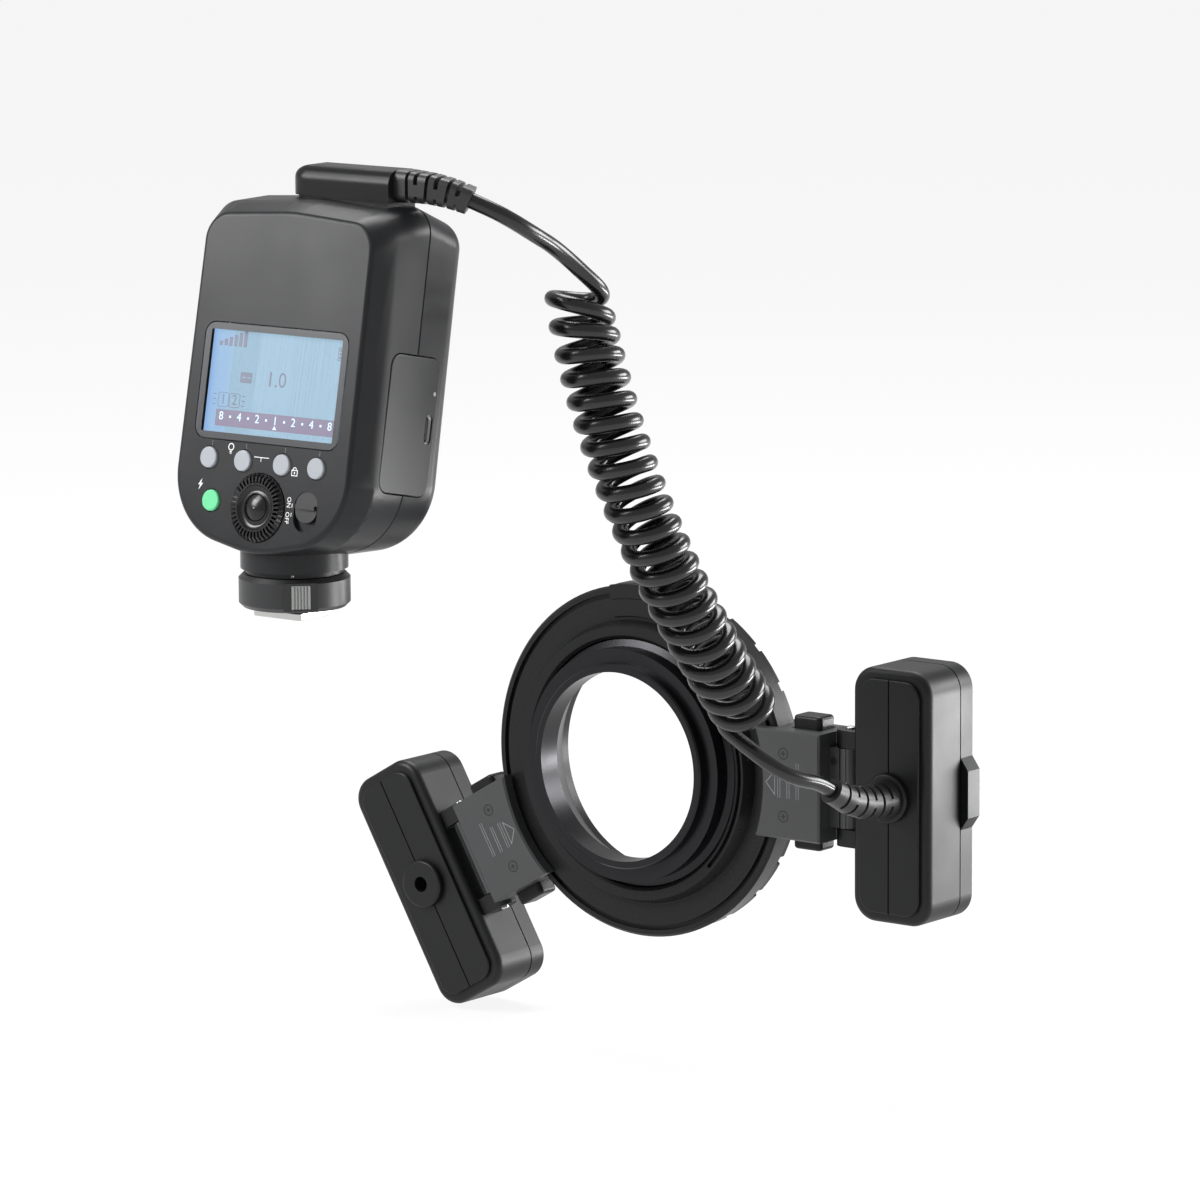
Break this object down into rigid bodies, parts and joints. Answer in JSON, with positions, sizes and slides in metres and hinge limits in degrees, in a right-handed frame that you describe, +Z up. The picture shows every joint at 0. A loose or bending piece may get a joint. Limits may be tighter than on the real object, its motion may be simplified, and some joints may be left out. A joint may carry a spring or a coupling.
{
  "type": "twin macro flash",
  "caption": "Twin macro flash: a hot-shoe control unit with display and dial, a curly cord, a toothed lens ring and clip-on flash heads that orbit and tilt.",
  "frame": {"origin": "centre of the underside of the control unit's hot-shoe foot", "axes": "+X to the viewer's right, +Y towards the subject along the lens axis, +Z up"},
  "size_m": [0.2366, 0.2149, 0.2977],
  "materials": {
    "shell": "satin",
    "window": "polished",
    "lcd": "smooth",
    "grey_button": "satin",
    "green_button": "satin",
    "dark_button": "gloss",
    "grip_insert": "ribbed",
    "circuit": "matte",
    "can": "satin",
    "inner_plastic": "matte",
    "pack": "satin",
    "contact": "polished",
    "steel": "satin",
    "cord": "gloss",
    "ring": "fine grain",
    "adapter": "satin",
    "diffuser": "ribbed",
    "mirror_metal": "polished",
    "tube_glass": "polished"
  },
  "bodies": {
    "control_unit": {"rear_shell": "shell", "front_shell": "shell", "display_window": "window", "lcd_module": "lcd", "control_board": "circuit", "flash_capacitor": "can", "battery_bay": "inner_plastic", "battery_contacts": "contact", "case_screws": "steel", "foot_neck": "shell", "shoe_plate": "steel", "contact_pins": "contact", "foot_screws": "steel", "cable_block": "shell", "cable_block_base": "shell", "upper_strain_relief": "cord", "cord_upper": "cord", "cord_coil": "cord", "ring_rear_housing": "ring", "ring_front_rim": "ring", "ring_top_cover": "ring", "adapter_ring": "adapter"},
    "mode_key": {"mode_button": "grey_button"},
    "lamp_key": {"lamp_button": "grey_button"},
    "menu_key": {"menu_button": "grey_button"},
    "ratio_key": {"ratio_button": "grey_button"},
    "test_key": {"test_button": "green_button"},
    "set_key": {"set_button": "dark_button"},
    "dial": {"select_dial": "dark_button"},
    "power_slider": {"power_switch": "dark_button"},
    "battery": {"battery_pack": "pack"},
    "collar": {"lock_collar": "shell", "collar_grip": "grip_insert"},
    "pin": {"lock_pin": "steel"},
    "release": {"release_button": "ring"},
    "right_carriage_body": {"right_carriage": "ring", "right_carriage_cover": "ring", "right_carriage_screws": "steel", "cord_lower": "cord"},
    "right_head": {"right_head_rear_shell": "shell", "right_head_front_bezel": "shell", "right_diffuser": "diffuser", "right_reflector": "mirror_metal", "right_flash_tube": "tube_glass", "right_hinge_pin": "steel", "lower_strain_relief": "cord"},
    "right_upper_clip": {"right_clip_button_upper": "ring"},
    "right_lower_clip": {"right_clip_button_lower": "ring"},
    "left_carriage_body": {"left_carriage": "ring", "left_carriage_cover": "ring", "left_carriage_screws": "steel"},
    "left_head": {"left_head_rear_shell": "shell", "left_head_front_bezel": "shell", "left_diffuser": "diffuser", "left_reflector": "mirror_metal", "left_flash_tube": "tube_glass", "left_hinge_pin": "steel"},
    "left_upper_clip": {"left_clip_button_upper": "ring"},
    "left_lower_clip": {"left_clip_button_lower": "ring"}
  },
  "joints": [
    {"name": "mode_press", "type": "slide", "parent": "control_unit", "child": "mode_key", "axis": [0, 0.981, -0.1942], "range_m": [0, 0.0008], "stiffness_N_per_m": 250, "springref_m": -0.0015},
    {"name": "lamp_press", "type": "slide", "parent": "control_unit", "child": "lamp_key", "axis": [0, 0.981, -0.1942], "range_m": [0, 0.0008], "stiffness_N_per_m": 250, "springref_m": -0.0015},
    {"name": "menu_press", "type": "slide", "parent": "control_unit", "child": "menu_key", "axis": [0, 0.981, -0.1942], "range_m": [0, 0.0008], "stiffness_N_per_m": 250, "springref_m": -0.0015},
    {"name": "ratio_press", "type": "slide", "parent": "control_unit", "child": "ratio_key", "axis": [0, 0.981, -0.1942], "range_m": [0, 0.0008], "stiffness_N_per_m": 250, "springref_m": -0.0015},
    {"name": "test_press", "type": "slide", "parent": "control_unit", "child": "test_key", "axis": [0, 0.981, -0.1942], "range_m": [0, 0.0008], "stiffness_N_per_m": 250, "springref_m": -0.0015},
    {"name": "set_press", "type": "slide", "parent": "control_unit", "child": "set_key", "axis": [0, 0.981, -0.1942], "range_m": [0, 0.0008], "stiffness_N_per_m": 250, "springref_m": -0.0015},
    {"name": "dial_turn", "type": "hinge", "parent": "control_unit", "child": "dial", "pos_m": [0, -0.01679, 0.03481], "axis": [0, -0.981, 0.1942], "continuous": true},
    {"name": "power_slide", "type": "slide", "parent": "control_unit", "child": "power_slider", "axis": [0, -0.1942, -0.981], "range_m": [0, 0.003]},
    {"name": "battery_slide", "type": "slide", "parent": "control_unit", "child": "battery", "axis": [1, 0, 0], "range_m": [0, 0.06]},
    {"name": "collar_turn", "type": "hinge", "parent": "control_unit", "child": "collar", "pos_m": [0, 0, 0.008], "axis": [0, 0, 1], "range_deg": [-75, 0]},
    {"name": "lock_pin_slide", "type": "slide", "parent": "control_unit", "child": "pin", "axis": [0, 0, 1], "range_m": [0, 0.0015]},
    {"name": "release_press", "type": "slide", "parent": "control_unit", "child": "release", "axis": [0, 0, -1], "range_m": [0, 0.0016], "stiffness_N_per_m": 800, "springref_m": -0.0015},
    {"name": "right_orbit", "type": "hinge", "parent": "control_unit", "child": "right_carriage_body", "pos_m": [0, 0.178, -0.0719], "axis": [0, 1, 0], "range_deg": [-50, 60], "deforming": ["cord_coil"]},
    {"name": "right_tilt", "type": "hinge", "parent": "right_carriage_body", "child": "right_head", "pos_m": [0.0806, 0.1775, -0.0719], "axis": [0, 0, 1], "range_deg": [-45, 50], "deforming": ["cord_lower"]},
    {"name": "right_upper_clip_press", "type": "slide", "parent": "right_carriage_body", "child": "right_upper_clip", "axis": [0, 0, -1], "range_m": [0, 0.002], "stiffness_N_per_m": 600, "springref_m": -0.0015},
    {"name": "right_lower_clip_press", "type": "slide", "parent": "right_carriage_body", "child": "right_lower_clip", "axis": [0, 0, 1], "range_m": [0, 0.002], "stiffness_N_per_m": 600, "springref_m": -0.0015},
    {"name": "left_orbit", "type": "hinge", "parent": "control_unit", "child": "left_carriage_body", "pos_m": [0, 0.178, -0.0719], "axis": [0, 1, 0], "range_deg": [-30, 80]},
    {"name": "left_tilt", "type": "hinge", "parent": "left_carriage_body", "child": "left_head", "pos_m": [-0.0698, 0.1775, -0.1122], "axis": [0.5, 0, -0.866], "range_deg": [-45, 50]},
    {"name": "left_upper_clip_press", "type": "slide", "parent": "left_carriage_body", "child": "left_upper_clip", "axis": [0.5, 0, -0.866], "range_m": [0, 0.002], "stiffness_N_per_m": 600, "springref_m": -0.0015},
    {"name": "left_lower_clip_press", "type": "slide", "parent": "left_carriage_body", "child": "left_lower_clip", "axis": [-0.5, 0, 0.866], "range_m": [0, 0.002], "stiffness_N_per_m": 600, "springref_m": -0.0015}
  ],
  "couplings": [
    {"joint": "lock_pin_slide", "follows": "collar_turn", "m_per_rad": -0.001145}
  ]
}
